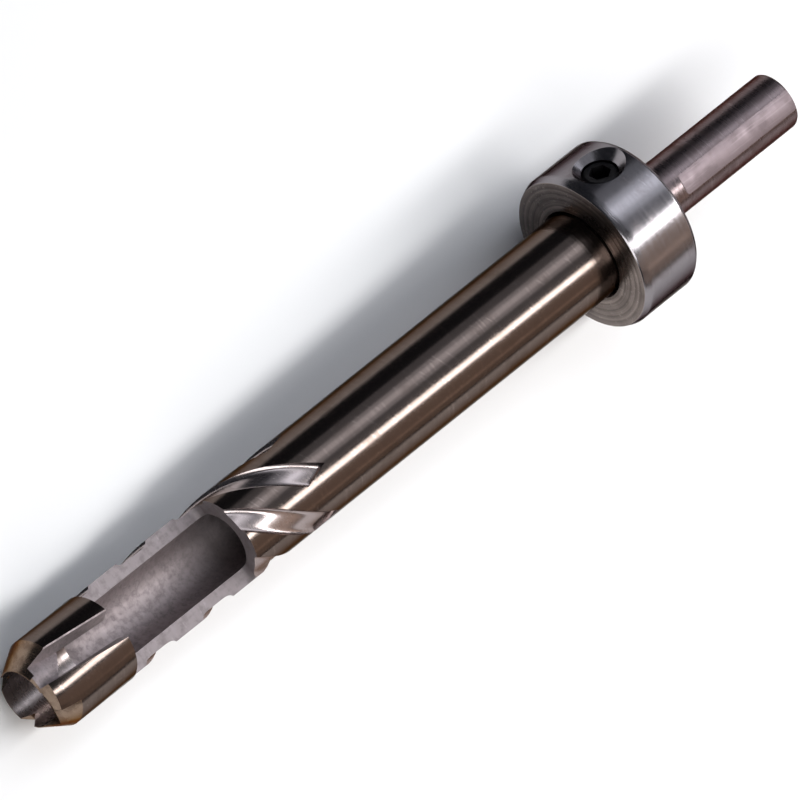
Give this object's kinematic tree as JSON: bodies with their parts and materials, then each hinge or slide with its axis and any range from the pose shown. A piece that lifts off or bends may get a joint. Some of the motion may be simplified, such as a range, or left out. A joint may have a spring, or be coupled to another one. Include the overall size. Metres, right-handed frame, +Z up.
{
  "type": "plug cutter",
  "caption": "Hollow wood plug cutter with a toothed crown, an ejection window cut into the tube, spiral flutes, a clamped depth-stop collar and a flatted drill shank.",
  "frame": {"origin": "on the ground, below the middle of the bounding box, with the tool lying on its head and on the rim of its collar", "axes": "+X along the tool towards its shank, with the cutting end towards -X; +Z up. The tool's own axis rises 2.8 degrees towards the shank, and the window faces up."},
  "size_m": [0.1078, 0.0174, 0.0176],
  "materials": {
    "tool_steel": "ground and polished tool steel",
    "zinc_plate": "bright zinc plate over turned steel",
    "black_oxide": "black oxide on alloy steel"
  },
  "bodies": {
    "root": {"cutter": "tool_steel", "stop_collar": "zinc_plate", "set_screw": "black_oxide"}
  },
  "joints": []
}
